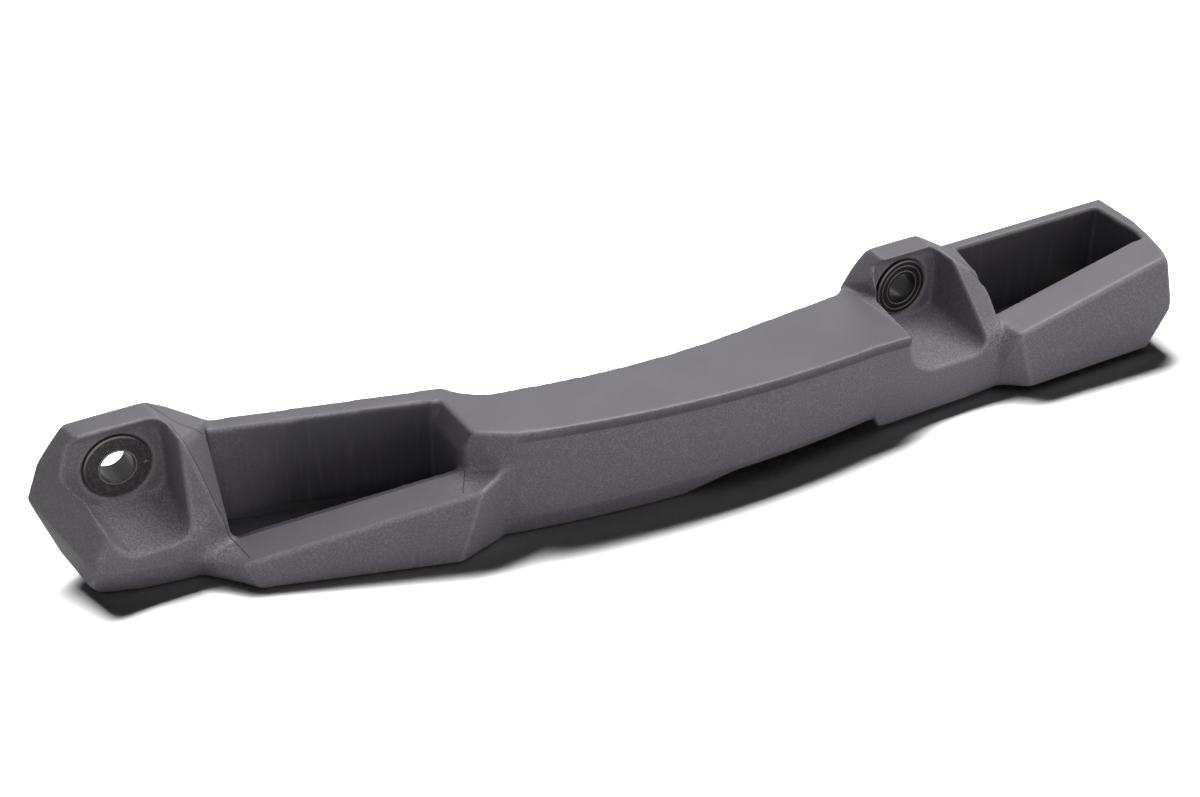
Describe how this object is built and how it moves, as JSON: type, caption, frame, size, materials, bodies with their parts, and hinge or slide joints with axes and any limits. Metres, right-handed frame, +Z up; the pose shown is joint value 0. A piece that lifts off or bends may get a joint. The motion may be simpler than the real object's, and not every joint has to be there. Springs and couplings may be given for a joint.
{
  "type": "grab handle",
  "caption": "Moulded motorcycle grab handle with recessed bolt lugs, flanged steel bushes, open-topped pockets and a bowed grip bar.",
  "frame": {"origin": "centre of the front bush on the outer face of its flange, where the bolt head seats", "axes": "+X along the handle from the front lug to the rear lug, +Y along the bolts into the vehicle, +Z up as the handle lies on a table"},
  "size_m": [0.34, 0.0611, 0.044],
  "materials": {
    "handle_plastic": "fine leather grain, satin on the top faces",
    "bush_steel": "black coated steel, worn bright in the bore"
  },
  "bodies": {
    "root": {"handle_body": "handle_plastic", "front_bush": "bush_steel", "rear_bush": "bush_steel"}
  },
  "joints": []
}
